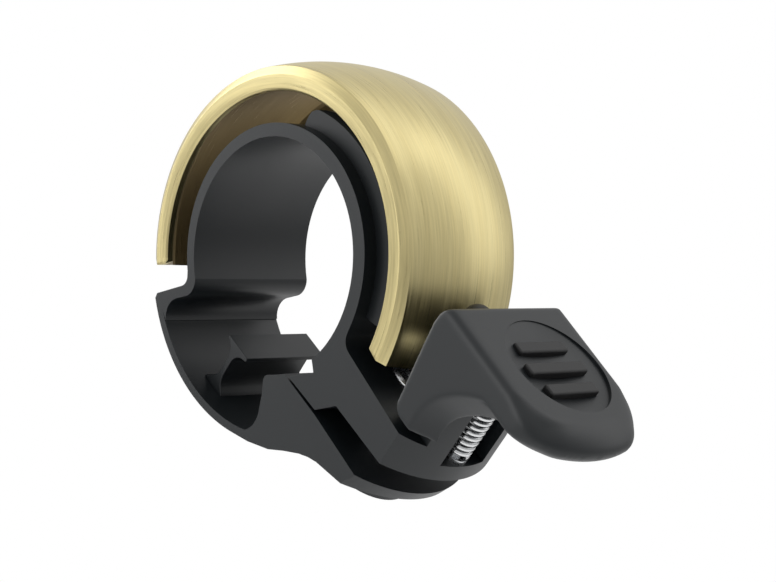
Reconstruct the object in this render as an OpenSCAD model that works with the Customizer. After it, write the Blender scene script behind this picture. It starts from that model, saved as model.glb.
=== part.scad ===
// Bicycle bell: a brass sounding ring around a handlebar clamp, struck by a sprung thumb lever.
// The origin is the centre of the handlebar bore. +Y runs along the handlebar, away from the
// front face, +X points to the lever and +Z is up.

/* [Handlebar clamp] */
// Radius of the bore that grips the handlebar
bore_r = 11.15; // [11.05:0.05:11.2]
// Half of the clamp's width along the handlebar
half_w = 7.4; // [7.2:0.1:7.6]
// Radius of the outside of the clamp band
band_r = 12.41; // [12.35:0.01:12.5]
// How far the outside of the band is off centre, so that it thins to the left
band_shift = 0.21; // [0.15:0.01:0.25]
// Outer radius of the living hinge that joins the band to the jaw
web_r = 17.65; // [17.6:0.05:17.7]
// Thickness of the living hinge
web_t = 0.8; // [0.7:0.05:0.9]
// Tilt of the tongues below level, in degrees
tongue_tilt = 41; // [40:0.5:42]

/* [Sounding ring] */
// Largest radius, at the middle of the crown
ring_r = 18.61; // [18.5:0.05:18.7]
// Radius of the crown's own curve across its width
crown_r = 28.3; // [27:0.1:30]
// Thickness of the brass wall
ring_wall = 1.3; // [1.2:0.05:1.4]
// Radius of the ring's inner edge
lip_r = 15.45; // [15.3:0.05:15.5]
// Angle of the end beside the lever, below level
ring_end = 34; // [33:0.5:35]
// Angle that the ring spans
ring_span = 216.4; // [215:0.1:217]

/* [Clamp bolt] */
// Distance of the bolt from the bore's centre, along the tongues
bolt_u = 17.1; // [17:0.05:17.2]
// Radius of the bolt's shank
bolt_r = 2; // [1.9:0.05:2.05]
// Radius of the bolt's head
head_r = 3.2; // [3.1:0.05:3.3]

/* [Thumb lever] */
// Tilt of the thumb pad below the tongues' own tilt, in degrees
pad_tilt = 4; // [3:0.5:5]
// Thickness of the thumb pad
pad_t = 3; // [2.8:0.1:3.2]
// Radius of the dish in the thumb pad
dish_r = 5.45; // [5.2:0.05:5.6]
// Radius of the pivot pin
pin_r = 0.6; // [0.5:0.05:0.65]
// Radius of the hammer's round face
hammer_r = 1.4; // [1.3:0.05:1.45]

/* [Return spring] */
// Radius of the middle of the spring wire's coils
coil_r = 1.1; // [1.05:0.05:1.15]
// Radius of the spring wire
wire_r = 0.24; // [0.2:0.01:0.26]
// Turns in the spring
turns = 14; // [12:1:15]

/* [Hidden] */
$fn = 96;

// Small amount by which a cutting tool runs past the face it cuts
cut = 1;
// Gap of a running fit
run_gap = 0.05;
// Both clamp tongues end in an arc of this radius, seen along the bolt
tip_r = 11;
lug_tip_u = 25.9;
jaw_tip_u = 24.7;
// Heights of the tongues' faces above the bore's centre, square to the tongues
lug_top = -0.9;
lug_low = -4.45;
tooth_low = -6.85;
jaw_top = -7;
// The lever's foot and pivot, in the tongues' own frame
pin_u = 21.9;
pin_v = 1.65;
cheek_in = 5.1;
post_w = 5;
// The arch under the lever is two arcs that meet at an angle: a tight one and a wide one
arch_tight = [29.5, 1.4];
arch_tight_r = 6;
arch_wide = [33.49, -1.61];
arch_wide_r = 11;
arch_meet = 143;
arch_slope = 1.9;
// The thumb pad: distance of its top face from the bore's centre, where it starts and ends
pad_n = 13;
pad_s0 = 19.4;
pad_s1 = 36.3;
dish_s = 26.8;
dish_depth = 0.9;
// Spring pocket
spring_u = 24.3;
pocket_u = 22.75;
pocket_v = -2.7;
pocket_w = 2.8;
spring_v0 = -2.3;
spring_v1 = 6.4;
// The hammer, in the tongues' own frame
hammer_u = 18.5;
hammer_v = 8.36;
// The saddle that carries the ring
saddle_a0 = -27;
saddle_a1 = 75;
stud_a = 43;
saddle_w = 5.9;
// The living hinge runs from the horn to the stiff part of the jaw, by angle round the bore
hinge_a0 = 202.5;
hinge_a1 = 219;

function arc_points(c, r, a0, a1, n) =
    [for (i = [0:n]) c + r * [cos(a0 + (a1 - a0) * i / n), sin(a0 + (a1 - a0) * i / n)]];

// Extrude a front-view outline, drawn as X and Z, between two places along the handlebar
module slab(y0, y1) {
    translate([0, y1, 0])
        rotate([90, 0, 0])
            linear_extrude(y1 - y0)
                children();
}

// A turned shape about the bore's axis, from a profile of radius and place along the handlebar
module turned(a0, a1) {
    rotate([90, 0, 0])
        rotate([0, 0, a0])
            rotate_extrude(angle = a1 - a0, $fn = 180)
                children();
}

// The tongues' own frame: X runs out along the tongues, Z along the clamp bolt
module on_tongue() {
    rotate([0, tongue_tilt, 0])
        children();
}

// The thumb pad's own frame: Z is square to its top face
module on_pad() {
    on_tongue()
        rotate([0, pad_tilt, 0])
            children();
}

// A round bar along the handlebar, in the tongues' own frame
module cross_bar(u, v, r, y0, y1) {
    translate([u, y1, v])
        rotate([90, 0, 0])
            cylinder(r = r, h = y1 - y0);
}

// Radial axis at an angle around the bore
module radial(a) {
    rotate([0, 90 - a, 0])
        children();
}

// --- Sounding ring ---

module ring_profile() {
    bevel = 0.55;
    face_in = lip_r + 0.17;
    difference() {
        intersection() {
            translate([ring_r - crown_r, 0])
                circle(r = crown_r, $fn = 360);
            polygon([[lip_r, half_w - 0.2], [face_in, half_w], [16.91, half_w],
                     [17.76, half_w - bevel], [20, half_w - bevel - 0.2],
                     [20, -half_w + bevel + 0.2], [17.76, -half_w + bevel], [16.91, -half_w],
                     [face_in, -half_w], [lip_r, -half_w + 0.2]]);
        }
        intersection() {
            translate([ring_r - crown_r, 0])
                circle(r = crown_r - ring_wall, $fn = 360);
            polygon([[lip_r - cut, -half_w + 0.84], [lip_r, -half_w + 0.84], [16.6, -half_w + 1.7],
                     [20, -half_w + 2.2], [20, half_w - 2.2], [16.6, half_w - 1.7],
                     [lip_r, half_w - 0.84], [lip_r - cut, half_w - 0.84]]);
        }
    }
}

module sounding_ring() {
    color("burlywood")
        turned(-ring_end, ring_span - ring_end)
            ring_profile();
}

module ring_stud() {
    color("goldenrod")
        difference() {
            radial(stud_a)
                translate([0, 0, 13.7])
                    cylinder(r = 2, h = 4);
            turned(stud_a - 12, stud_a + 12)
                difference() {
                    translate([10, -4])
                        square([12, 8]);
                    translate([ring_r - crown_r, 0])
                        circle(r = crown_r - ring_wall, $fn = 360);
                }
            radial(stud_a)
                cylinder(r = 1.25 + run_gap, h = 16.9);
        }
}

module ring_grommet() {
    color([0.1, 0.1, 0.1])
        radial(stud_a)
            translate([0, 0, 13.2])
                difference() {
                    cylinder(r = 3, h = 3.4);
                    translate([0, 0, 0.5])
                        cylinder(r = 2 + run_gap / 5, h = 4);
                    translate([0, 0, -cut])
                        cylinder(r = 1.4, h = 3);
                }
}

module ring_screw() {
    color("silver")
        radial(stud_a)
            difference() {
                union() {
                    translate([0, 0, 11.35])
                        cylinder(r1 = 2.3, r2 = 1.25, h = 1.05);
                    translate([0, 0, 12.3])
                        cylinder(r = 1.25, h = 4.4);
                }
                translate([0, 0, 11.35 - cut])
                    cylinder(r = 0.75, h = cut + 0.8, $fn = 6);
            }
}

module ring_saddle() {
    core_w = 4.2;
    shoulder_r = 14.9;
    color("dimgray")
        difference() {
            union() {
                turned(saddle_a0, saddle_a1)
                    polygon([[12, -saddle_w], [shoulder_r - 0.6, -saddle_w],
                             [shoulder_r, -saddle_w + 0.6], [shoulder_r, saddle_w - 0.6],
                             [shoulder_r - 0.6, saddle_w], [12, saddle_w]]);
                turned(saddle_a0, saddle_a1 - 7)
                    intersection() {
                        translate([ring_r - crown_r, 0])
                            circle(r = crown_r - ring_wall - 0.35, $fn = 360);
                        translate([shoulder_r - 1, -core_w])
                            square([6, 2 * core_w]);
                    }
            }
            translate([band_shift, half_w + cut, 0])
                rotate([90, 0, 0])
                    cylinder(r = band_r, h = 2 * half_w + 2 * cut, $fn = 180);
            radial(stud_a) {
                translate([0, 0, 13.15])
                    cylinder(r = 3.05, h = 6);
                cylinder(r = 1.4, h = 14);
            }
        }
}

// --- Clamp band, with its horn, upper tongue and lever post ---

module band_outline() {
    difference() {
        union() {
            translate([band_shift, 0])
                circle(r = band_r, $fn = 180);
            rotate(-tongue_tilt)
                lug_outline();
        }
        polygon([[0, 0], 30 * [cos(-115), sin(-115)], 30 * [cos(-140), sin(-140)],
                 30 * [cos(-168.5), sin(-168.5)]]);
        // Everything below the tooth and the gap between the tongues
        rotate(-tongue_tilt)
            polygon([[-8, tooth_low], [7, tooth_low], [13.9, tooth_low + 0.2],
                     [15.7, lug_low], [40, lug_low], [40, -30], [-8, -30]]);
        // Relief beside the tooth, where the bore's wall stops short of the jaw
        polygon([[5.6, -9], [5.85, -10.2], [5.95, -10.8], [2.3, -11.2], [1.5, -10.4]]);
    }
    horn_outline();
}

// The neck turns out from the band into the horn, which carries the living hinge
module horn_outline() {
    polygon(concat(
        [[-12.2, 0.4], [-12.12, -1.2]],
        arc_points([-13.2, -1.75], 1.05, 0, -78, 6),
        [[-16.9, -3.5]],
        arc_points([0, 0], web_r, 193, hinge_a0, 3),
        arc_points([0, 0], web_r - web_t, hinge_a0, 198.5, 2),
        arc_points([-13.6, -5.95], 1.95, 188, 96, 8),
        arc_points([-12.7, -2.06], 1.75, -77, -2, 8),
        [[-11, 0.4]]));
}

// The upper tongue, drawn in the tongues' own frame
module lug_outline() {
    polygon(concat(
        [[7, -9], [30, -9], [30, lug_top - 0.7]],
        arc_points([13.93, 1.71], 1.45, 263.4, 186.5, 6),
        [[9, 1.6]]));
}

// Everything that lies inside a tongue's round tip, seen along the bolt
module inside_tip(tip_u, v0, v1) {
    translate([tip_u - tip_r, 0, v0])
        cylinder(r = tip_r, h = v1 - v0, $fn = 180);
    translate([tip_u - tip_r - 40, -half_w - cut, v0])
        cube([40 + tip_r * 0.72, 2 * half_w + 2 * cut, v1 - v0]);
}

// The post between the lever's cheeks carries the pivot pin and the spring pocket
module post_outline() {
    polygon([[20.6, lug_top - 2], [20.6, 2.3], [21.5, 3.4], [23.4, 4.3], [30, 4.3],
             [30, lug_low], [22, lug_low]]);
}

module clamp_band() {
    color([0.22, 0.23, 0.24])
        difference() {
            intersection() {
                union() {
                    slab(-half_w, half_w)
                        band_outline();
                    on_tongue()
                        slab(-post_w, post_w)
                            post_outline();
                }
                on_tongue()
                    inside_tip(lug_tip_u, -30, 30);
            }
            slab(-half_w - cut, half_w + cut)
                circle(r = bore_r, $fn = 180);
            // Seat and through hole of the clamp nut
            on_tongue()
                translate([bolt_u, 0, 0]) {
                    translate([0, 0, lug_low - cut])
                        cylinder(r = bolt_r + 0.15, h = 6);
                    translate([0, 0, lug_low + 1.2])
                        cylinder(r = 2.7, h = 6);
                    translate([0, 0, -0.35])
                        cylinder(r = 3.5, h = 3);
                }
            // Spring pocket, open to the tip, and the pivot pin's hole
            on_tongue() {
                translate([pocket_u, -pocket_w, pocket_v])
                    cube([6, 2 * pocket_w, 10]);
                cross_bar(pin_u, pin_v, pin_r + run_gap / 5, -half_w, half_w);
            }
            // Countersunk hole of the ring's screw
            radial(stud_a) {
                translate([0, 0, 10])
                    cylinder(r = 1.4, h = 4);
                translate([0, 0, 10.3])
                    cylinder(r1 = 3.4, r2 = 1.3, h = 2.1);
            }
        }
}

// --- Living hinge, jaw and bar rest ---

module hinge_web() {
    color([0.2, 0.21, 0.22])
        turned(hinge_a0, hinge_a1)
            translate([web_r - web_t, -half_w])
                square([web_t, 2 * half_w]);
}

module jaw_outline() {
    web_in = web_r - web_t;
    difference() {
        union() {
            intersection() {
                circle(r = web_r, $fn = 180);
                polygon([[0, 0], 40 * [cos(hinge_a1), sin(hinge_a1)], 40 * [cos(245), sin(245)],
                         40 * [cos(272), sin(272)]]);
            }
            // The belly under the bore and the lower tongue
            polygon([[-5.3, -16.4], [-5.3, -16.83], [-3.2, -17.52], [-0.3, -18.1], [1.9, -18.12],
                     [3.97, -18.26], [5.2, -18.5], [6.3, -18.88], [7.3, -19.4], [9.6, -20.65],
                     [16, -24.6], [23, -18], [12, -9.2], [1.6, -10.4], [-1, -10.4]]);
        }
        circle(r = bore_r, $fn = 180);
        // The part above the parting line belongs to the upper tongue
        rotate(-tongue_tilt)
            polygon([[-2, jaw_top], [14.2, jaw_top], [22, jaw_top - 0.5], [40, jaw_top - 0.5],
                     [40, 20], [-2, 20]]);
        // Deep pocket between the living hinge and the jaw's own wall
        intersection() {
            circle(r = web_in, $fn = 180);
            polygon(concat(
                [[-6, -19], [-22, -12], [-22, 0], [0, 0], [-0.35, -11.16]],
                arc_points([-0.35, -11.8], 0.64, 90, 170, 4),
                [[-1.18, -13.1]],
                arc_points([-4.1, -13.9], 2.6, -8, -94, 8)));
        }
    }
}

module clamp_jaw() {
    slot_in = 1.5;
    color([0.24, 0.25, 0.26])
        difference() {
            union() {
                intersection() {
                    slab(-half_w, half_w)
                        jaw_outline();
                    on_tongue()
                        jaw_tip();
                }
                // Boss around the bolt's head
                on_tongue()
                    translate([bolt_u, 0, -11.3])
                        cylinder(r = 4.5, h = 3);
            }
            on_tongue()
                for (part = [[bolt_r + 0.2, 12], [head_r + 0.35, 6.8]])
                    translate([bolt_u - slot_in, 0, -16]) {
                        for (shift = [0, slot_in])
                            translate([shift, 0, 0])
                                cylinder(r = part[0], h = part[1]);
                        translate([0, -part[0], 0])
                            cube([slot_in, 2 * part[0], part[1]]);
                    }
        }
}

// The lower tongue's tip leans back towards its underside
module jaw_tip() {
    lean = 22;
    translate([jaw_tip_u, 0, jaw_top])
        rotate([0, lean, 0])
            translate([-jaw_tip_u, 0, 0])
                inside_tip(jaw_tip_u, -30, 14);
}

// A thin T-shaped rib that presses on the bar, drawn in the tongues' own frame
module bar_rest_fin() {
    fin_w = 5.1;
    head_v = -11.3;
    inner = web_r - web_t;
    color([0.2, 0.21, 0.22])
        on_tongue()
            slab(-fin_w, fin_w)
                difference() {
                    polygon(concat(
                        [[-1.45, head_v], [2, head_v], [2.05, head_v - 0.4]],
                        arc_points([1.9, -13.3], 1.5, 95, 180, 6),
                        arc_points([2.2, -14.9], 1.8, 180, 238, 4),
                        [[1.9, -17.2], [-2.2, -17.2]],
                        arc_points([-2.3, -14.6], 2.1, -62, 0, 4),
                        arc_points([-1.9, -13.2], 1.7, 0, 72, 6)));
                    difference() {
                        circle(r = 30);
                        circle(r = inner, $fn = 180);
                    }
                }
}

// --- Clamp bolt ---

module clamp_bolt() {
    color("silver")
        on_tongue()
            translate([bolt_u, 0, 0])
                difference() {
                    union() {
                        translate([0, 0, -10.6])
                            cylinder(r = bolt_r, h = 11.1);
                        translate([0, 0, -11.9])
                            cylinder(r = head_r, h = 2.2);
                    }
                    translate([0, 0, -11.9 - cut])
                        cylinder(r = 1.5, h = cut + 1.5, $fn = 6);
                }
}

module bolt_washer() {
    color("gainsboro")
        on_tongue()
            translate([bolt_u, 0, -9.7])
                difference() {
                    cylinder(r = head_r + 0.15, h = 0.48);
                    translate([0, 0, -cut])
                        cylinder(r = bolt_r + run_gap, h = 3);
                }
}

module clamp_nut() {
    color("gainsboro")
        on_tongue()
            translate([bolt_u, 0, lug_low + 1.2])
                difference() {
                    union() {
                        cylinder(r = 2.7, h = 3);
                        translate([0, 0, 2.9])
                            cylinder(r = 3.35, h = 0.35);
                        translate([0, 0, 3.25])
                            cylinder(r1 = 3.35, r2 = 3, h = 0.3);
                    }
                    translate([0, 0, -cut])
                        cylinder(r = bolt_r + run_gap, h = 8);
                }
}

// --- Thumb lever ---

module pivot_pin() {
    color("silver")
        on_tongue()
            cross_bar(pin_u, pin_v, pin_r, -6.3, half_w);
}

// Side view of the lever without its pad, drawn in the tongues' own frame
module cheek_outline() {
    polygon(concat(
        [[19.36, 9.3], [20.85, 1.9]],
        arc_points([22.35, 1.6], 1.5, 190, 270, 5),
        [[28, 0.1], [33, 6.5], [31, 9.3], [21, 11.5]],
        arc_points([20.85, 10.06], 1.5, 90, 180, 6)));
}

// The arch's wide arc counts only to the right of where the two arcs meet
module arch_wedge() {
    polygon([arch_wide, arch_wide + 20 * [cos(arch_meet), sin(arch_meet)],
             arch_wide + 20 * [cos(115), sin(115)], arch_wide + 20 * [cos(85), sin(85)],
             arch_wide + [20, 0], arch_wide + [0, -10]]);
}

// What the arch takes out of both cheeks, with its wide sloping edge
module arch_cut() {
    slope_w = half_w - cheek_in;
    for (side = [0, 1])
        mirror([0, side, 0]) {
            translate([arch_tight[0], -half_w - 0.01, arch_tight[1]])
                rotate([-90, 0, 0]) {
                    cylinder(r1 = arch_tight_r, r2 = arch_tight_r - arch_slope, h = slope_w);
                    cylinder(r = arch_tight_r - arch_slope, h = half_w + cut);
                }
            intersection() {
                translate([arch_wide[0], -half_w - 0.01, arch_wide[1]])
                    rotate([-90, 0, 0]) {
                        cylinder(r1 = arch_wide_r, r2 = arch_wide_r - arch_slope, h = slope_w);
                        cylinder(r = arch_wide_r - arch_slope, h = half_w + cut);
                    }
                slab(-half_w - cut, half_w + cut)
                    arch_wedge();
            }
        }
}

// Outline of the thumb pad, seen square to its top face
module pad_plan() {
    corner = 4.5;
    nose = 10;
    nose_s = pad_s1 - nose;
    side_y = half_w - corner;
    corner_s = nose_s + sqrt(pow(nose - corner, 2) - pow(side_y, 2));
    turn = asin(side_y / (nose - corner));
    polygon(concat(
        [[pad_s0, -half_w]],
        arc_points([corner_s, -side_y], corner, -90, -turn, 6),
        arc_points([nose_s, 0], nose, -turn, turn, 10),
        arc_points([corner_s, side_y], corner, turn, 90, 6),
        [[pad_s0, half_w]]));
}

module thumb_lever() {
    color([0.26, 0.27, 0.28])
        difference() {
            union() {
                on_pad()
                    translate([0, 0, pad_n - pad_t])
                        linear_extrude(pad_t)
                            pad_plan();
                on_tongue()
                    difference() {
                        slab(-half_w, half_w)
                            cheek_outline();
                        arch_cut();
                    }
            }
            // The hollow between the cheeks
            on_tongue()
                slab(-cheek_in, cheek_in)
                    polygon([[19, -2], [19, 5.3], [21.1, 5.5], [21.1, 7], [27.5, 7], [29.5, 7.5],
                             [32, 7.4], [36, 5], [36, -2]]);
            // The pivot pin's bore, blind on the front
            on_tongue()
                cross_bar(pin_u, pin_v, pin_r + run_gap, -6.4, half_w + cut);
            on_tongue()
                translate([19, 0, hammer_v])
                    rotate([0, 90, 0])
                        cylinder(r = 0.6, h = 1.8);
            // The dish in the pad
            on_pad()
                translate([dish_s, 0, pad_n - dish_depth])
                    cylinder(r = dish_r, h = 3);
        }
}

module thumb_grip() {
    rib_w = 1.1;
    color([0.3, 0.31, 0.32])
        on_pad()
            translate([dish_s, 0, pad_n - dish_depth]) {
                cylinder(r = dish_r, h = 0.3);
                for (i = [-1:1])
                    translate([2.4 * i, 0, 0])
                        linear_extrude(dish_depth - 0.1) {
                            square([rib_w, 7 - 1.6 * abs(i)], center = true);
                            for (side = [-1, 1])
                                translate([0, side * (3.5 - 0.8 * abs(i))])
                                    circle(r = rib_w / 2);
                        }
            }
}

module hammer_tip() {
    color([0.12, 0.12, 0.13])
        on_tongue()
            translate([hammer_u, 0, hammer_v])
                difference() {
                    sphere(r = hammer_r);
                    translate([-0.4, 0, 0])
                        rotate([0, 90, 0])
                            cylinder(r = 0.58, h = 3);
                    translate([0.75, -3, -3])
                        cube(6);
                }
}

module hammer_stem() {
    color("silver")
        on_tongue()
            translate([hammer_u - 0.4, 0, hammer_v])
                rotate([0, 90, 0])
                    cylinder(r = 0.57, h = 2.4);
}

// --- Return spring ---

function coil_at(t) =
    let (a = 360 * turns * t, rise = spring_v1 - spring_v0 - 2 * wire_r)
    [spring_u + coil_r * cos(a), coil_r * sin(a), spring_v0 + wire_r + rise * t];

module return_spring() {
    steps = turns * 14;
    sides = 6;
    rings = [for (i = [0:steps])
        let (p = coil_at(i / steps), a = 360 * turns * i / steps)
        [for (j = [0:sides - 1])
            let (b = 360 * j / sides)
            p + wire_r * [cos(b) * cos(a), cos(b) * sin(a), sin(b)]]];
    points = [for (ring = rings) each ring];
    walls = [for (i = [0:steps - 1], j = [0:sides - 1])
        let (k = (j + 1) % sides)
        [i * sides + j, i * sides + k, (i + 1) * sides + k, (i + 1) * sides + j]];
    ends = [[for (j = [sides - 1:-1:0]) j], [for (j = [0:sides - 1]) steps * sides + j]];
    color("silver")
        on_tongue()
            polyhedron(points, concat(walls, ends));
}

module spring_seat() {
    seat_t = 0.35;
    color([0.5, 0.5, 0.52])
        on_tongue()
            translate([spring_u, 0, pocket_v]) {
                cylinder(r = coil_r + wire_r, h = seat_t);
                cylinder(r = coil_r - wire_r - 0.06, h = seat_t + 0.8);
            }
}

module spring_peg() {
    color([0.5, 0.5, 0.52])
        on_tongue()
            translate([spring_u, 0, 0]) {
                translate([0, 0, spring_v1 + 0.05])
                    cylinder(r = coil_r + wire_r, h = 7 - spring_v1 - 0.05);
                translate([0, 0, spring_v1 - 1.4])
                    cylinder(r = coil_r - wire_r - 0.06, h = 1.6);
            }
}

sounding_ring();
ring_stud();
ring_grommet();
ring_screw();
ring_saddle();
clamp_band();
hinge_web();
clamp_jaw();
bar_rest_fin();
clamp_bolt();
bolt_washer();
clamp_nut();
pivot_pin();
thumb_lever();
thumb_grip();
hammer_tip();
hammer_stem();
return_spring();
spring_seat();
spring_peg();
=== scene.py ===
import math

import bmesh
import bpy
from mathutils import Matrix, Vector


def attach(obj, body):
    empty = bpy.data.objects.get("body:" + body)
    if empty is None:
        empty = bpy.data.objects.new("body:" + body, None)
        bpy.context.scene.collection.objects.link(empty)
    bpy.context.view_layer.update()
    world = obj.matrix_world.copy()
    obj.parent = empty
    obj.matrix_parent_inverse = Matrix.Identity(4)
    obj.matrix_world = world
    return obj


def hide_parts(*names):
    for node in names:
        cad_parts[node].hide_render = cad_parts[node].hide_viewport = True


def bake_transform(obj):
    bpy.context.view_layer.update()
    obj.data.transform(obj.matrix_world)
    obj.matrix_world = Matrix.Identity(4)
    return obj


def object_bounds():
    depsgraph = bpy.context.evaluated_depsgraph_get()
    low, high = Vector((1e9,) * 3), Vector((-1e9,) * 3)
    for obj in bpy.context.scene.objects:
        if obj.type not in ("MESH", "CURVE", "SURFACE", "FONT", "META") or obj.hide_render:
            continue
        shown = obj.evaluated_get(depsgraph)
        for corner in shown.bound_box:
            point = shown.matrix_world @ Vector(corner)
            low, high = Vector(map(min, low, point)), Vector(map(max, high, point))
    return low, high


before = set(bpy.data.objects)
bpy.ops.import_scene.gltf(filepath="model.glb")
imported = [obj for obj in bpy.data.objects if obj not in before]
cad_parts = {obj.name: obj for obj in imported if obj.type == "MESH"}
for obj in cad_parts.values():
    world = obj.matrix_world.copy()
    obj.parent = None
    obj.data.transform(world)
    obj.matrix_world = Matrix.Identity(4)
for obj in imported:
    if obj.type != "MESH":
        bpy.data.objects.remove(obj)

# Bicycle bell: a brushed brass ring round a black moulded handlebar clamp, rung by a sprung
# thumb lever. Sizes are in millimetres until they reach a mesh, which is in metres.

CAD_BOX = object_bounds()
MM = 0.001

# The clamp's two tongues lean down towards the lever by this angle, the thumb pad a little more
TONGUE_TILT = math.radians(41)
PAD_TILT = math.radians(45)

# Half the bell's width along the handlebar
HALF_WIDTH = 7.4

# The living hinge covers this turn about the handlebar, at this radius
HINGE_START = math.radians(202.5)
HINGE_END = math.radians(219)
HINGE_R = 17.25

# The seam where the hinge grows out of the horn lies beyond this radius
SEAM_R = 16

# Edges sharper than this stay crisp in the shading
CRISP_ANGLE = math.radians(30)

# How near two turns are, in radians, to count as the same
SAME_TURN = 0.002


# --- Small helpers ---

def linear(hex_colour):
    """An sRGB hex colour as linear red, green, blue and a full alpha."""
    parts = [int(hex_colour[i:i + 2], 16) / 255 for i in (0, 2, 4)]
    return [c / 12.92 if c <= 0.04045 else ((c + 0.055) / 1.055) ** 2.4 for c in parts] + [1.0]


def add(tree, kind, settings=None, **inputs):
    """Adds a node, sets its properties, then sets or links each named or numbered input."""
    node = tree.nodes.new(kind)
    for name, value in (settings or {}).items():
        setattr(node, name, value)
    for name, value in inputs.items():
        key = int(name[1:]) if name[0] == "_" and name[1:].isdigit() else name.replace("_", " ")
        if isinstance(value, bpy.types.NodeSocket):
            tree.links.new(value, node.inputs[key])
        else:
            node.inputs[key].default_value = value
    return node


def number(tree, operation, first, second=0.0, third=0.0):
    return add(tree, "ShaderNodeMath", {"operation": operation}, _0=first, _1=second,
               _2=third).outputs[0]


def tilted(angle):
    """The frame that leans down by an angle: X runs out along it, Z stands square to it."""
    return Matrix.Rotation(angle, 4, "Y")


def on_tongue(u, y, v):
    return tilted(TONGUE_TILT) @ Vector((u, y, v)) * MM


def link(mesh, name):
    piece = bpy.data.objects.new(name, mesh)
    bpy.context.scene.collection.objects.link(piece)
    return piece


def mesh_object(bm, name):
    mesh = bpy.data.meshes.new(name)
    bm.to_mesh(mesh)
    bm.free()
    return link(mesh, name)


def shade(piece):
    """Smooth shading with crisp edges, kept in the mesh itself."""
    mesh = piece.data
    mesh.polygons.foreach_set("use_smooth", [True] * len(mesh.polygons))
    bm = bmesh.new()
    bm.from_mesh(mesh)
    for edge in bm.edges:
        if len(edge.link_faces) == 2:
            edge.smooth = edge.calc_face_angle(0) < CRISP_ANGLE
    bm.to_mesh(mesh)
    bm.free()
    even = piece.modifiers.new("flat faces stay flat", "WEIGHTED_NORMAL")
    even.keep_sharp = True
    apply_modifiers(piece)


def solid_copy_mesh(node):
    """A CAD node's own shape as one closed mesh, with its flat faces made whole again."""
    bm = bmesh.new()
    bm.from_mesh(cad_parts[node].data)
    bmesh.ops.remove_doubles(bm, verts=bm.verts, dist=0.002 * MM)
    bmesh.ops.dissolve_limit(bm, angle_limit=math.radians(1.5), verts=bm.verts, edges=bm.edges)
    mesh = bpy.data.meshes.new(node + "_shape")
    bm.to_mesh(mesh)
    bm.free()
    return mesh


def solid_copy(node, name):
    return link(solid_copy_mesh(node), name)


def apply_modifiers(piece):
    """Turns a piece's modifiers into plain mesh."""
    graph = bpy.context.evaluated_depsgraph_get()
    mesh = bpy.data.meshes.new_from_object(piece.evaluated_get(graph))
    piece.modifiers.clear()
    piece.data = mesh


def on_seam(place):
    """True where the living hinge grows out of the horn, which are two pieces of one moulding."""
    turn = math.atan2(place.z, place.x) % (2 * math.pi)
    return abs(turn - HINGE_START) < SAME_TURN and place.length > SEAM_R * MM


def soften(piece, width, segments=3, angle=28):
    """Rounds every edge sharper than an angle, as a mould's or a cutter's edge is."""
    bm = bmesh.new()
    bm.from_mesh(piece.data)
    weight = bm.edges.layers.float.new("bevel_weight_edge")
    for edge in bm.edges:
        seam = all(on_seam(v.co) for v in edge.verts)
        if edge.calc_face_angle(0) > math.radians(angle) and not seam:
            edge[weight] = 1.0
    bm.to_mesh(piece.data)
    bm.free()
    bevel = piece.modifiers.new("soft edges", "BEVEL")
    bevel.width = width * MM
    bevel.segments = segments
    bevel.limit_method = "WEIGHT"
    apply_modifiers(piece)


def paint(piece, material):
    piece.data.materials.clear()
    piece.data.materials.append(material)


def finish_piece(piece, body, slot, material, *nodes):
    """Paints a piece and hangs it on its body; a piece given two bodies only has its place baked
    into its mesh.
    """
    paint(piece, material)
    shade(piece)
    if isinstance(body, str):
        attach(piece, body)
    else:
        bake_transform(piece)
    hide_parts(*nodes)


# --- Materials ---

def new_material(name):
    material = bpy.data.materials.new(name)
    material.use_nodes = True
    material.node_tree.nodes.clear()
    return material, material.node_tree


def close_material(tree, shader):
    output = tree.nodes.new("ShaderNodeOutputMaterial")
    tree.links.new(shader.outputs[0], output.inputs["Surface"])


def object_place(tree):
    return add(tree, "ShaderNodeTexCoord").outputs["Object"]


def noise(tree, place, scale, detail, **more):
    return add(tree, "ShaderNodeTexNoise", Vector=place, Scale=scale, Detail=detail,
               **more).outputs["Fac"]


def remap(tree, value, to_low, to_high, from_low=0.0, from_high=1.0):
    """Spreads a value evenly over another range, and holds it at the ends."""
    return add(tree, "ShaderNodeMapRange", Value=value, From_Min=from_low, From_Max=from_high,
               To_Min=to_low, To_Max=to_high).outputs[0]


# Painted shade on the ring's hollow side: it fades in below this radius and inside this half width
HOLLOW_SHADE_R = (17.35 * MM, 17.5 * MM)
HOLLOW_SHADE_Y = (6.4 * MM, 6.7 * MM)

# How little the brushed pattern changes along the ring, so that its lines run round
BRUSH_DRIFT = 0.0005


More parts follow.
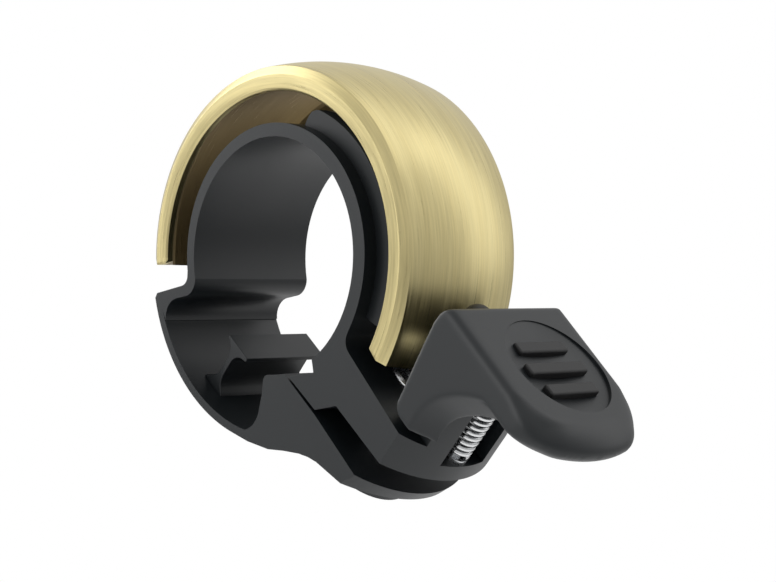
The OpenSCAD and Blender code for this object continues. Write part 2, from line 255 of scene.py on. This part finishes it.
def brushed_brass():
    """Satin brass, turned and brushed: fine lines run round the ring; its hollow side is painted
    darker and browner, as painted shade.
    """
    material, tree = new_material("brushed_brass")
    parts = add(tree, "ShaderNodeSeparateXYZ", Vector=object_place(tree))
    x, y, z = (parts.outputs[i] for i in range(3))
    radius = number(tree, "SQRT", number(
        tree, "ADD", number(tree, "MULTIPLY", x, x), number(tree, "MULTIPLY", z, z)))
    turn = number(tree, "ARCTAN2", z, x)
    brush = add(tree, "ShaderNodeCombineXYZ", X=number(tree, "MULTIPLY", turn, BRUSH_DRIFT),
                Y=y, Z=radius).outputs[0]
    scratches = noise(tree, brush, 5200.0, 5.0, Roughness=0.65)
    bands = noise(tree, brush, 900.0, 3.0)
    tone = add(tree, "ShaderNodeMix", {"data_type": "RGBA"}, _0=bands, _6=linear("CABB86"),
               _7=linear("DDD09C"))
    fine = remap(tree, scratches, 0.8, 1.06, 0.3, 0.7)
    polished = add(tree, "ShaderNodeMix", {"data_type": "RGBA", "blend_type": "MULTIPLY"},
                   _0=1.0, _6=tone.outputs[2], _7=fine)
    # Painted shade: the hollow side is painted darker and browner, standing in for the shade and
    # dark reflections inside the ring
    below = remap(tree, radius, 1.0, 0.0, *HOLLOW_SHADE_R)
    within = remap(tree, number(tree, "ABSOLUTE", y), 1.0, 0.0, *HOLLOW_SHADE_Y)
    colour = add(tree, "ShaderNodeMix", {"data_type": "RGBA"},
                 _0=number(tree, "MULTIPLY", below, within), _6=polished.outputs[2],
                 _7=linear("7A6844"))
    bump = add(tree, "ShaderNodeBump", Height=scratches, Strength=0.14, Distance=0.00004)
    tangent = add(tree, "ShaderNodeTangent", {"direction_type": "RADIAL", "axis": "Y"})
    shader = add(tree, "ShaderNodeBsdfPrincipled", Base_Color=colour.outputs[2],
                 Roughness=remap(tree, scratches, 0.26, 0.4, 0.3, 0.7), Normal=bump.outputs[0],
                 Metallic=1.0, Anisotropic=0.6, Tangent=tangent.outputs[0])
    close_material(tree, shader)
    return material


def satin_nylon():
    """Glass-filled nylon moulded in black: satin, with a very fine even grain."""
    material, tree = new_material("satin_black_nylon")
    place = object_place(tree)
    grain = noise(tree, place, 7000.0, 2.0)
    cloud = noise(tree, place, 160.0, 2.0)
    bump = add(tree, "ShaderNodeBump", Height=grain, Strength=0.12, Distance=0.00003)
    shader = add(tree, "ShaderNodeBsdfPrincipled", Base_Color=linear("0F1417"),
                 Roughness=remap(tree, cloud, 0.36, 0.44), Normal=bump.outputs[0], IOR=1.5)
    close_material(tree, shader)
    return material


def black_rubber():
    """Moulded nitrile rubber: darker and duller than the nylon, with a faint grain."""
    material, tree = new_material("black_nitrile_rubber")
    grain = noise(tree, object_place(tree), 4500.0, 3.0)
    bump = add(tree, "ShaderNodeBump", Height=grain, Strength=0.2, Distance=0.00003)
    shader = add(tree, "ShaderNodeBsdfPrincipled", Base_Color=linear("121213"), Roughness=0.55,
                 Normal=bump.outputs[0], IOR=1.52)
    close_material(tree, shader)
    return material


def bright_steel(name, colour, scale, detail, smoothest, roughest):
    """Steel whose shine varies in faint lines."""
    material, tree = new_material(name)
    lines = noise(tree, object_place(tree), scale, detail)
    shader = add(tree, "ShaderNodeBsdfPrincipled", Base_Color=linear(colour),
                 Roughness=remap(tree, lines, smoothest, roughest), Metallic=1.0)
    close_material(tree, shader)
    return material


def zinc_steel():
    """Turned steel with a clear zinc plate: bright, with faint tool lines."""
    return bright_steel("zinc_plated_steel", "C6C8CA", 2600.0, 3.0, 0.2, 0.34)


def spring_steel():
    """Drawn spring wire: bright, smooth, with lines too fine to see."""
    return bright_steel("drawn_spring_wire", "DADBDC", 3000.0, 2.0, 0.16, 0.26)


# --- Shapes ---

def rounded(corners, steps=4):
    """A closed outline with each corner (x, y, radius) turned into a small arc."""
    outline = []
    for i, (x, y, radius) in enumerate(corners):
        here = Vector((x, y))
        back = (Vector(corners[i - 1][:2]) - here).normalized()
        ahead = (Vector(corners[(i + 1) % len(corners)][:2]) - here).normalized()
        if radius == 0:
            outline.append((x, y))
            continue
        half = back.angle(ahead) / 2
        reach = radius / math.tan(half)
        centre = here + (back + ahead).normalized() * radius / math.sin(half)
        first, last = here + back * reach - centre, here + ahead * reach - centre
        for k in range(steps + 1):
            spoke = first.normalized().slerp(last.normalized(), k / steps)
            outline.append(tuple(centre + spoke * radius))
    return outline


def loop_object(outline, name):
    """A closed outline as edges in the XY plane, in metres."""
    bm = bmesh.new()
    verts = [bm.verts.new((x * MM, y * MM, 0)) for x, y in outline]
    for i, vert in enumerate(verts):
        bm.edges.new((vert, verts[(i + 1) % len(verts)]))
    return mesh_object(bm, name)


def run_tree(piece, tree, **values):
    """Runs a geometry tree on a piece and keeps the result as its plain mesh."""
    modifier = piece.modifiers.new(tree.name, "NODES")
    modifier.node_group = tree
    for item in tree.interface.items_tree:
        if item.item_type == "SOCKET" and item.in_out == "INPUT" and item.name in values:
            modifier[item.identifier] = values[item.name]
    apply_modifiers(piece)


def new_tree(name, **inputs):
    """A geometry tree with its geometry in and out and named number inputs."""
    tree = bpy.data.node_groups.new(name, "GeometryNodeTree")
    tree.interface.new_socket("Geometry", in_out="INPUT", socket_type="NodeSocketGeometry")
    for label, kind in inputs.items():
        tree.interface.new_socket(label, in_out="INPUT", socket_type="NodeSocket" + kind)
    tree.interface.new_socket("Geometry", in_out="OUTPUT", socket_type="NodeSocketGeometry")
    return tree, tree.nodes.new("NodeGroupInput").outputs


def close_tree(tree, geometry, material):
    whole = add(tree, "GeometryNodeRealizeInstances", _0=geometry)
    named = add(tree, "GeometryNodeSetMaterial", Geometry=whole.outputs[0], Material=material)
    add(tree, "NodeGroupOutput", _0=named.outputs[0])


def sweep_tree(material):
    """Turns a closed outline about Y: X of the outline is the radius, Y the place along the bar."""
    tree, given = new_tree("ring_sweep", Points="Int", Steps="Int", Start="Float", Sweep="Float")
    outline, points, steps = given["Geometry"], given["Points"], given["Steps"]
    columns = number(tree, "ADD", steps, 1.0)
    rows = number(tree, "ADD", points, 1.0)
    net = add(tree, "GeometryNodeMeshGrid", Vertices_X=columns, Vertices_Y=rows)
    index = add(tree, "GeometryNodeInputIndex").outputs[0]
    column = number(tree, "FLOOR", number(tree, "DIVIDE", number(tree, "ADD", index, 0.5), rows))
    row = number(tree, "SUBTRACT", index, number(tree, "MULTIPLY", column, rows))
    place = add(tree, "GeometryNodeInputPosition").outputs[0]
    spot = add(tree, "GeometryNodeSampleIndex", {"data_type": "FLOAT_VECTOR"}, Geometry=outline,
               Value=place, Index=number(tree, "MODULO", row, points))
    share = number(tree, "DIVIDE", column, steps)
    turn = number(tree, "MULTIPLY_ADD", share, given["Sweep"], given["Start"])
    turned = add(tree, "ShaderNodeVectorRotate", {"rotation_type": "Y_AXIS"},
                 Vector=spot.outputs[0], Angle=number(tree, "MULTIPLY", turn, -1.0))
    wall = add(tree, "GeometryNodeSetPosition", Geometry=net.outputs["Mesh"],
               Position=turned.outputs[0])
    curve = add(tree, "GeometryNodeMeshToCurve", Mesh=outline)
    cap = add(tree, "GeometryNodeFillCurve", Curve=curve.outputs[0])
    joined = add(tree, "GeometryNodeJoinGeometry")
    tree.links.new(wall.outputs[0], joined.inputs[0])
    last = number(tree, "ADD", given["Start"], given["Sweep"])
    for angle in (given["Start"], last):
        turn_to = add(tree, "ShaderNodeCombineXYZ", Y=number(tree, "MULTIPLY", angle, -1.0))
        end = add(tree, "GeometryNodeTransform", Geometry=cap.outputs[0],
                  Rotation=turn_to.outputs[0])
        tree.links.new(end.outputs[0], joined.inputs[0])
    merged = add(tree, "GeometryNodeMergeByDistance", Geometry=joined.outputs[0],
                 Distance=0.004 * MM)
    close_tree(tree, merged.outputs[0], material)
    return tree


def spring_tree(material):
    """A compression spring along Z with closed end coils."""
    tree, given = new_tree("coil_spring", Turns="Float", Height="Float", Coil_radius="Float",
                           Wire_radius="Float", Points="Int")
    turns, height, wire = given["Turns"], given["Height"], given["Wire_radius"]
    line = add(tree, "GeometryNodeMeshLine", Count=given["Points"])
    index = add(tree, "GeometryNodeInputIndex").outputs[0]
    share = number(tree, "DIVIDE", index, number(tree, "SUBTRACT", given["Points"], 1.0))
    turned = number(tree, "MULTIPLY", share, turns)
    angle = number(tree, "MULTIPLY", turned, 2 * math.pi)
    # The first and last turn rise by only one wire thickness
    thick = number(tree, "MULTIPLY", wire, 2.0)
    low = number(tree, "MULTIPLY", number(tree, "MINIMUM", turned, 1.0), thick)
    high = number(tree, "MULTIPLY", number(tree, "MAXIMUM", number(
        tree, "SUBTRACT", turned, number(tree, "SUBTRACT", turns, 1.0)), 0.0), thick)
    between = add(tree, "ShaderNodeMapRange", Value=turned, From_Min=1.0,
                  From_Max=number(tree, "SUBTRACT", turns, 1.0), To_Min=0.0,
                  To_Max=number(tree, "MULTIPLY_ADD", wire, -6.0, height)).outputs[0]
    rise = number(tree, "ADD", number(tree, "ADD", low, high), between)
    spot = add(tree, "ShaderNodeCombineXYZ",
               X=number(tree, "MULTIPLY", number(tree, "COSINE", angle), given["Coil_radius"]),
               Y=number(tree, "MULTIPLY", number(tree, "SINE", angle), given["Coil_radius"]),
               Z=number(tree, "ADD", rise, wire))
    path = add(tree, "GeometryNodeSetPosition", Geometry=line.outputs[0],
               Position=spot.outputs[0])
    curve = add(tree, "GeometryNodeMeshToCurve", Mesh=path.outputs[0])
    section = add(tree, "GeometryNodeCurvePrimitiveCircle", Resolution=12, Radius=wire)
    tube = add(tree, "GeometryNodeCurveToMesh", Curve=curve.outputs[0],
               Profile_Curve=section.outputs[0], Fill_Caps=True)
    close_tree(tree, tube.outputs[0], material)
    return tree


def rib_tree(material):
    """Sets one rib out in a row along X, each shorter with its distance from the middle."""
    tree, given = new_tree("grip_ribs", Count="Int", Spacing="Float", Taper="Float")
    middle = number(tree, "MULTIPLY", number(tree, "SUBTRACT", given["Count"], 1.0), 0.5)
    first = add(tree, "ShaderNodeCombineXYZ", X=number(
        tree, "MULTIPLY", number(tree, "MULTIPLY", middle, given["Spacing"]), -1.0))
    step = add(tree, "ShaderNodeCombineXYZ", X=given["Spacing"])
    line = add(tree, "GeometryNodeMeshLine", Count=given["Count"], Start_Location=first.outputs[0],
               Offset=step.outputs[0])
    row = add(tree, "GeometryNodeInstanceOnPoints", Points=line.outputs[0],
              Instance=given["Geometry"])
    index = add(tree, "GeometryNodeInputIndex").outputs[0]
    apart = number(tree, "ABSOLUTE", number(tree, "SUBTRACT", index, middle))
    length = number(tree, "SUBTRACT", 1.0, number(tree, "MULTIPLY", apart, given["Taper"]))
    scale = add(tree, "ShaderNodeCombineXYZ", X=1.0, Y=length, Z=1.0)
    sized = add(tree, "GeometryNodeScaleInstances", Instances=row.outputs[0],
                Scale=scale.outputs[0])
    close_tree(tree, sized.outputs[0], material)
    return tree


# --- Pieces ---

# The ring: radius over its crown, radius of the crown's own curve, wall, and the turn it covers
RING_R = 18.61
CROWN_R = 28.3
RING_WALL = 1.3
RING_START = math.radians(-34)
RING_SWEEP = math.radians(216.4)
RING_STEPS = 240

# The ring's lips: inner radius, place of their back edge, and where the crown meets the bevel
LIP_R = 15.45
LIP_BACK_Y = 6.56
BEVEL_Y = 6.85

# How far along the ring its end corners are rounded, and their radii seen from the front
END_REACH = 3.0
START_INNER_R = 1.0
FINISH_OUTER_R = 1.0
FINISH_INNER_R = 0.5


def crown(y, inset=0.0):
    """Radius of the ring's crowned wall at a place across its width."""
    return RING_R - CROWN_R + math.sqrt((CROWN_R - inset) ** 2 - y * y)


def crown_points(edge, steps, inset=0.0):
    """Section points of the crowned wall, from one edge across to the other."""
    places = [edge - 2 * edge * i / steps for i in range(steps + 1)]
    return [(crown(y, inset), y, 0) for y in places]


def ring_section():
    """The ring's section: two lips joined by a crowned wall, every edge a little broken."""
    # Each corner is its radius, its place across the width and its own small rounding
    lip = [(LIP_R, 7.2, 0.05), (15.62, HALF_WIDTH, 0.06), (16.91, HALF_WIDTH, 0.1),
           (17.768, BEVEL_Y, 0.12)]
    inner = [(16.6, 5.7, 0.15), (crown(5.2, RING_WALL), 5.2, 0.3)]
    front_lip = [(x, -y, r) for x, y, r in reversed(lip)]
    front_inner = [(x, -y, r) for x, y, r in inner]
    return rounded(lip + crown_points(6.3, 28) + front_lip + [(LIP_R, -LIP_BACK_Y, 0.08)]
                   + front_inner + crown_points(-4.5, 18, RING_WALL) + list(reversed(inner))
                   + [(LIP_R, LIP_BACK_Y, 0.08)])


def ease(gap, radius):
    """How far a rounded corner falls back, at a distance from the side it rounds."""
    near = max(0.0, radius - gap)
    return radius - math.sqrt(radius ** 2 - near ** 2)


def round_ends(piece):
    """Rounds the ring's corners at its two ends, seen from the front."""
    for vert in piece.data.vertices:
        x, y, z = vert.co / MM
        radius = math.hypot(x, z)
        turn = math.atan2(z, x)
        # Turns past half a circle come out negative, and are brought back after the start
        if turn < RING_START - 0.1:
            turn += 2 * math.pi
        from_start = (turn - RING_START) * radius
        from_finish = (RING_START + RING_SWEEP - turn) * radius
        outer_gap = max(0.0, crown(min(abs(y), BEVEL_Y)) - radius)
        inner_gap = max(0.0, radius - LIP_R)
        at_start = ease(inner_gap, START_INNER_R)
        at_finish = ease(outer_gap, FINISH_OUTER_R) + ease(inner_gap, FINISH_INNER_R)
        turn += (at_start * max(0.0, 1 - from_start / END_REACH)
                 - at_finish * max(0.0, 1 - from_finish / END_REACH)) / radius
        vert.co.x = radius * math.cos(turn) * MM
        vert.co.z = radius * math.sin(turn) * MM


def bell_ring(material):
    section = ring_section()
    piece = loop_object(section, "bell_ring")
    run_tree(piece, sweep_tree(material), Points=len(section), Steps=RING_STEPS,
             Start=RING_START, Sweep=RING_SWEEP)
    bm = bmesh.new()
    bm.from_mesh(piece.data)
    bmesh.ops.recalc_face_normals(bm, faces=bm.faces)
    bm.to_mesh(piece.data)
    bm.free()
    round_ends(piece)
    soften(piece, 0.1, segments=2, angle=60)
    finish_piece(piece, "clamp_frame", "brass_ring", material, "sounding_ring")


SKIN_VOXEL = 0.15


def remould(piece, rounds):
    """Fuses a piece into one even skin, then melts its edges for a number of rounds."""
    skin = piece.modifiers.new("skin", "REMESH")
    skin.mode = "VOXEL"
    skin.voxel_size = SKIN_VOXEL * MM
    if rounds:
        melt = piece.modifiers.new("melt", "SMOOTH")
        melt.factor = 0.5
        melt.iterations = rounds
    apply_modifiers(piece)


def cut_with(piece, tool):
    knife = piece.modifiers.new("cut", "BOOLEAN")
    knife.operation = "DIFFERENCE"
    knife.solver = "EXACT"
    knife.object = tool
    apply_modifiers(piece)
    bpy.data.objects.remove(tool)


# The thumb pad in its own frame, whose X runs out to the nose and whose Z is square to the top
PAD_START = 19.0
PAD_TOP = 13.0
PAD_T = 3.0

# Its dish: place, radius, depth, height of the upright wall, and lean to one side
DISH_S = 26.75
DISH_Y = 0.8
DISH_R = 5.45
DISH_DEPTH = 1.0
DISH_WALL = 0.3
DISH_TILT = math.radians(2)
DISH_STEPS = 12

# Its outline: the CAD's nose radius and tip, then the flatter nose and the corners beside it
CAD_NOSE = (10.0, 36.3)
NOSE_R = 15.0
NOSE_TIP = 35.9
NOSE_S = NOSE_TIP - NOSE_R
CORNER_R = 4.5
CORNER_Y = HALF_WIDTH - CORNER_R
CORNER_S = NOSE_S + math.sqrt((NOSE_R - CORNER_R) ** 2 - CORNER_Y ** 2)
CORNER_TURN = math.asin(CORNER_Y / (NOSE_R - CORNER_R))

# The new nose is drawn out from here on
NOSE_ROOT = 27.0

# The pad's top starts further out by this much, eased in along the pad and up the cheeks
TOP_SHIFT = 0.3
SHIFT_END = 22.4
SHIFT_REACH = 3.0
SHIFT_LOW = 4.0
SHIFT_RISE = 8.0

# Rounding of the top edge, and what it gains in width and height towards the nose
EDGE_ROUND = 0.9
NOSE_WIDER = 2.5
NOSE_HIGHER = 1.1
NOSE_EASE = (29.5, 4.0)

# Rounding under the nose, and where it grows; what hangs well below the pad is left alone
UNDER_ROUND = 1.6
UNDER_EASE = (31.0, 3.0)
UNDER_SLACK = 0.1
TINY = 0.01


def pad_end(y, nose_r, tip):
    """Where the pad ends at a place across it, for a nose of a given radius and tip."""
    y = min(abs(y), HALF_WIDTH - 0.2)
    centre = tip - nose_r
    if y < nose_r * CORNER_Y / (nose_r - CORNER_R):
        return centre + math.sqrt(nose_r ** 2 - y ** 2)
    corner = centre + math.sqrt((nose_r - CORNER_R) ** 2 - CORNER_Y ** 2)
    return corner + math.sqrt(CORNER_R ** 2 - (y - CORNER_Y) ** 2)


def ramp(place, start, length):
    """Rises from 0 to 1 over a length."""
    return min(1.0, max(0.0, (place - start) / length))


def reshape_pad(piece):
    """Gives the pad a flatter nose, and starts its top a little later."""
    for vert in piece.data.vertices:
        s, y, n = vert.co / MM
        if s > NOSE_ROOT:
            length = pad_end(y, NOSE_R, NOSE_TIP) - NOSE_ROOT
            ratio = length / (pad_end(y, *CAD_NOSE) - NOSE_ROOT)
            vert.co.x = (NOSE_ROOT + (s - NOSE_ROOT) * ratio) * MM
        elif s < SHIFT_END and n > SHIFT_LOW:
            along = (SHIFT_END - s) / SHIFT_REACH
            vert.co.x = (s + TOP_SHIFT * along * ramp(n, SHIFT_LOW, SHIFT_RISE)) * MM


def depth_in_pad(s, y):
    """How far a place is inside the pad's outline, and the way further in."""
    side = math.copysign(1.0, y)
    if s < CORNER_S:
        return HALF_WIDTH - abs(y), Vector((0, -side))
    turn = math.atan2(abs(y), s - NOSE_S)
    centre, radius = Vector((NOSE_S, 0)), NOSE_R
    if turn > CORNER_TURN:
        centre, radius = Vector((CORNER_S, side * CORNER_Y)), CORNER_R
    inward = centre - Vector((s, y))
    return radius - inward.length, inward.normalized()


def rounding(depth, height, wide, high):
    """How far in and how far down a place moves to lie on an edge's rounding, or None."""
    a, b = (wide - depth) / wide, (high - height) / high
    reach = math.hypot(a, b)
    if a > 0 and b > 0 and reach > 1:
        return (a - a / reach) * wide, (b - b / reach) * high
    return None


def round_pad(piece):
    """Rounds the pad's top edge, with a long slope round the nose, and the nose's underside."""
    for vert in piece.data.vertices:
        s, y, n = vert.co / MM
        depth, inward = depth_in_pad(s, y)
        nose = ramp(s, *NOSE_EASE)
        above = rounding(depth, PAD_TOP - n, EDGE_ROUND + NOSE_WIDER * nose,
                         EDGE_ROUND + NOSE_HIGHER * nose)
        if above and s > PAD_START:
            shift = inward * above[0]
            vert.co = Vector((s + shift.x, y + shift.y, n - above[1])) * MM
            continue
        under = max(TINY, UNDER_ROUND * ramp(s, *UNDER_EASE))
        height = n - (PAD_TOP - PAD_T)
        below = rounding(depth, height, under, under)
        if below and height >= -UNDER_SLACK * under and s > UNDER_EASE[0]:
            shift = inward * below[0]
            vert.co = Vector((s + shift.x, y + shift.y, n + below[1])) * MM


def lathe(profile, segments=128):
    """A closed solid of revolution about Z; the profile runs from the axis back to the axis."""
    bm = bmesh.new()
    start, finish = (bm.verts.new((0, 0, n * MM)) for _, n in (profile[0], profile[-1]))
    turns = [2 * math.pi * i / segments for i in range(segments)]
    rings = [[bm.verts.new((r * math.cos(t) * MM, r * math.sin(t) * MM, n * MM)) for t in turns]
             for r, n in profile[1:-1]]
    for i in range(segments):
        k = (i + 1) % segments
        bm.faces.new((start, rings[0][i], rings[0][k]))
        bm.faces.new((finish, rings[-1][k], rings[-1][i]))
        for low, high in zip(rings, rings[1:]):
            bm.faces.new((low[i], high[i], high[k], low[k]))
    bmesh.ops.recalc_face_normals(bm, faces=bm.faces)
    return bm


def dish_tool():
    """Cuts the dish: a low wall all round and a floor that is hollowed like a shallow bowl."""
    hollow = DISH_DEPTH - DISH_WALL
    ball = (DISH_R ** 2 + hollow ** 2) / (2 * hollow)
    lowest = PAD_TOP - DISH_DEPTH
    floor = []
    for i in range(DISH_STEPS + 1):
        r = DISH_R * i / DISH_STEPS
        floor.append((r, lowest + ball - math.sqrt(ball ** 2 - r ** 2)))
    bm = lathe(floor + [(DISH_R, PAD_TOP + 1), (0, PAD_TOP + 1)])
    middle = Matrix.Translation(Vector((DISH_S, DISH_Y, PAD_TOP)) * MM)
    lower = Matrix.Translation(Vector((0, 0, -PAD_TOP)) * MM)
    bm.transform(middle @ tilted(DISH_TILT) @ lower)
    return mesh_object(bm, "dish_tool")


# A plug fills the CAD's own dish before the dish is cut afresh
PLUG_R = 6.0
PLUG_DEPTH = 2.0
MELT_ROUNDS = 22


def thumb_lever(material):
    """The moulded lever: one smooth skin with soft edges, then the dish with its crisp rim."""
    piece = solid_copy("thumb_lever", "thumb_lever_skin")
    piece.data.transform(tilted(-PAD_TILT))
    plug = bmesh.new()
    plug.from_mesh(piece.data)
    middle = Matrix.Translation(Vector((DISH_S, 0, PAD_TOP - PLUG_DEPTH / 2)) * MM)
    bmesh.ops.create_cone(plug, cap_ends=True, segments=96, radius1=PLUG_R * MM,
                          radius2=PLUG_R * MM, depth=PLUG_DEPTH * MM, matrix=middle)
    plug.to_mesh(piece.data)
    plug.free()
    remould(piece, 0)
    reshape_pad(piece)
    round_pad(piece)
    remould(piece, MELT_ROUNDS)
    cut_with(piece, dish_tool())
    piece.data.transform(tilted(PAD_TILT))
    finish_piece(piece, "lever", "black_nylon", material, "thumb_lever")


# The grip ribs: size of the middle one, how far its middle is below the pad's top, and the row
RIB_SIZE = (1.25, 7.6, 1.0)
RIB_SINK = 0.62
RIB_COUNT = 3
RIB_SPACING = 2.45
RIB_TAPER = 0.16


def grip_ribs(material):
    """Three plain raised ribs in the dish."""
    bm = bmesh.new()
    bmesh.ops.create_cube(bm, size=MM, matrix=Matrix.Diagonal((*RIB_SIZE, 1.0)))
    piece = mesh_object(bm, "dish_ribs")
    soften(piece, 0.25, segments=4)
    run_tree(piece, rib_tree(material), Count=RIB_COUNT, Spacing=RIB_SPACING * MM,
             Taper=RIB_TAPER)
    middle = Vector((DISH_S, DISH_Y, PAD_TOP - RIB_SINK)) * MM
    piece.data.transform(tilted(PAD_TILT) @ Matrix.Translation(middle))
    finish_piece(piece, "lever", "black_rubber", material, "thumb_grip")


# The return spring: place along the tongue, its two ends, and its coil
SPRING_U = 24.3
SPRING_LOW = -2.3
SPRING_HIGH = 6.4
SPRING_TURNS = 14
TURN_STEPS = 28
COIL_R = 1.12
WIRE_R = 0.22


def return_spring(material):
    bm = bmesh.new()
    bm.verts.new((0, 0, 0))
    piece = mesh_object(bm, "coil_spring")
    run_tree(piece, spring_tree(material), Turns=float(SPRING_TURNS),
             Height=(SPRING_HIGH - SPRING_LOW) * MM, Coil_radius=COIL_R * MM,
             Wire_radius=WIRE_R * MM, Points=SPRING_TURNS * TURN_STEPS + 1)
    low = Matrix.Translation(Vector((SPRING_U, 0, SPRING_LOW)) * MM)
    piece.data.transform(tilted(TONGUE_TILT) @ low)
    ends = (on_tongue(SPRING_U, 0, SPRING_LOW), on_tongue(SPRING_U, 0, SPRING_HIGH))
    finish_piece(piece, ("clamp_frame", "lever", *ends), "steel", material, "return_spring")


def hinge_place(turn):
    return Vector((math.cos(turn), 0, math.sin(turn))) * HINGE_R * MM


def web_and_jaw(material):
    """The living hinge and the jaw as the one moulding that they are."""
    web = solid_copy("hinge_web", "web")
    bm = bmesh.new()
    bm.from_mesh(web.data)
    bm.from_mesh(solid_copy_mesh("clamp_jaw"))
    bmesh.ops.remove_doubles(bm, verts=bm.verts, dist=0.004 * MM)
    # The two faces that met between the web and the jaw are inside the moulding now
    inner = [f for f in bm.faces if all(abs(
        math.atan2(v.co.z, v.co.x) % (2 * math.pi) - HINGE_END) < SAME_TURN / 2 for v in f.verts)]
    bmesh.ops.delete(bm, geom=inner, context="FACES_ONLY")
    bm.to_mesh(web.data)
    bm.free()
    soften(web, 0.14)
    span = (hinge_place(HINGE_START), hinge_place(HINGE_END))
    finish_piece(web, ("clamp_frame", "jaw", *span), "black_nylon", material, "hinge_web",
                 "clamp_jaw")


def prism(outline, half_width, name):
    """A front-view outline of X and Z drawn out both ways along the handlebar."""
    bm = bmesh.new()
    front, back = ([bm.verts.new(Vector((x, y, z)) * MM) for x, z in outline]
                   for y in (-half_width, half_width))
    bm.faces.new(front)
    bm.faces.new(back)
    for i in range(len(outline)):
        k = (i + 1) % len(outline)
        bm.faces.new((front[i], front[k], back[k], back[i]))
    bmesh.ops.recalc_face_normals(bm, faces=bm.faces)
    return mesh_object(bm, name)


def saddle(material):
    """The ring's saddle, whose far flank sweeps up from the band in a hollow curve."""
    piece = solid_copy("ring_saddle", "saddle")
    # Each point is a radius and an angle in degrees about the handlebar
    flank = [(12.0, 76.5), (12.62, 75.2), (13.0, 74.6), (13.5, 73.8), (13.9, 72.8), (14.2, 70.6),
             (14.5, 66.6), (14.7, 62.6), (14.95, 57.0), (15.4, 57.0), (15.4, 67.0), (20, 67.0),
             (20, 80), (12, 80)]
    outline = [(r * math.cos(math.radians(t)), r * math.sin(math.radians(t))) for r, t in flank]
    cut_with(piece, prism(outline, 9, "flank_tool"))
    soften(piece, 0.35, segments=4)
    finish_piece(piece, "clamp_frame", "black_nylon", material, "ring_saddle")


BRASS = brushed_brass()
NYLON = satin_nylon()
RUBBER = black_rubber()
ZINC = zinc_steel()
WIRE = spring_steel()

bell_ring(BRASS)
thumb_lever(NYLON)
grip_ribs(RUBBER)
return_spring(WIRE)
web_and_jaw(NYLON)
saddle(NYLON)

for node, name, body, slot, material, width in (
        ("clamp_band", "band_and_post", "clamp_frame", "black_nylon", NYLON, 0.12),
        ("bar_rest_fin", "bar_rest", "jaw", "black_nylon", NYLON, 0.08),
        ("clamp_nut", "flange_nut", "clamp_frame", "steel", ZINC, 0.1)):
    piece = solid_copy(node, name)
    soften(piece, width)
    finish_piece(piece, body, slot, material, node)

for node, material in (("ring_stud", BRASS), ("ring_grommet", RUBBER), ("ring_screw", ZINC),
                       ("clamp_bolt", ZINC), ("bolt_washer", ZINC), ("pivot_pin", ZINC),
                       ("hammer_tip", RUBBER), ("hammer_stem", ZINC),
                       ("spring_seat", ZINC), ("spring_peg", ZINC)):
    paint(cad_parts[node], material)


# --- Stage, light and camera ---

# The bell hangs this far above a round floor, which fades out between two distances, in metres
FLOOR_DROP = 0.06
FLOOR_R = 0.4
FLOOR_FADE = (0.1, 0.3)


def pale_floor():
    """A plain pale floor that fades out far from the bell, so that no horizon shows."""
    material, tree = new_material("pale_floor")
    place = add(tree, "ShaderNodeTexCoord")
    away = add(tree, "ShaderNodeVectorMath", {"operation": "LENGTH"}, _0=place.outputs["Object"])
    fade = add(tree, "ShaderNodeMapRange", {"interpolation_type": "SMOOTHSTEP"},
               Value=away.outputs["Value"], From_Min=FLOOR_FADE[0], From_Max=FLOOR_FADE[1])
    paint_coat = add(tree, "ShaderNodeBsdfDiffuse", Color=linear("F8F8F8"))
    clear = add(tree, "ShaderNodeBsdfTransparent")
    mixed = add(tree, "ShaderNodeMixShader", _0=fade.outputs[0], _1=paint_coat.outputs[0],
                _2=clear.outputs[0])
    close_material(tree, mixed)
    return material


def stage():
    bm = bmesh.new()
    level = Matrix.Translation((0, 0, CAD_BOX[0][2] - FLOOR_DROP))
    bmesh.ops.create_circle(bm, cap_ends=True, segments=64, radius=FLOOR_R, matrix=level)
    floor = mesh_object(bm, "floor")
    paint(floor, pale_floor())


def area_light(name, place, size, power):
    """A softbox that faces the middle of the handlebar bore."""
    data = bpy.data.lights.new(name, "AREA")
    data.shape = "RECTANGLE"
    data.size, data.size_y = size
    data.energy = power
    lamp = bpy.data.objects.new(name, data)
    bpy.context.scene.collection.objects.link(lamp)
    lamp.location = place
    lamp.rotation_euler = (-Vector(place)).to_track_quat("-Z", "Y").to_euler()


def lights():
    """White all round for the eye; for the object, soft light that is strongest from above."""
    scene = bpy.context.scene
    scene.view_settings.view_transform = "Standard"
    scene.world = bpy.data.worlds.new("studio")
    scene.world.use_nodes = True
    tree = scene.world.node_tree
    tree.nodes.clear()
    ray = add(tree, "ShaderNodeTexCoord")
    parts = add(tree, "ShaderNodeSeparateXYZ", Vector=ray.outputs["Generated"])
    height = remap(tree, parts.outputs[2], 0.22, 0.82, -0.7, 0.5)
    seen = add(tree, "ShaderNodeLightPath")
    level = number(tree, "MAXIMUM", seen.outputs["Is Camera Ray"], height)
    light = add(tree, "ShaderNodeBackground", Color=linear("FFFFFF"), Strength=level)
    add(tree, "ShaderNodeOutputWorld", Surface=light.outputs[0])
    area_light("top softbox", (0.12, 0.1, 0.4), (0.3, 0.4), 0.25)
    area_light("left softbox", (-0.35, -0.12, 0.2), (0.25, 0.4), 0.8)
    area_light("rear softbox", (0.2, 0.3, 0.14), (0.16, 0.4), 0.16)
    area_light("front softbox", (-0.12, -0.5, 0.06), (0.4, 0.3), 0.6)


# The camera stands level in front of the bell, turned about the upright, with a long lens
CAMERA_PLACE = (0.1330, -0.1255, -0.0033)
CAMERA_TURN = math.radians(44.84)
LENS = 88.16


def camera():
    data = bpy.data.cameras.new("camera")
    data.sensor_width = 36
    data.lens = LENS
    data.clip_start = 0.01
    eye = bpy.data.objects.new("camera", data)
    bpy.context.scene.collection.objects.link(eye)
    eye.location = CAMERA_PLACE
    eye.rotation_euler = (math.radians(90), 0, CAMERA_TURN)
    bpy.context.scene.camera = eye


stage()
lights()
camera()
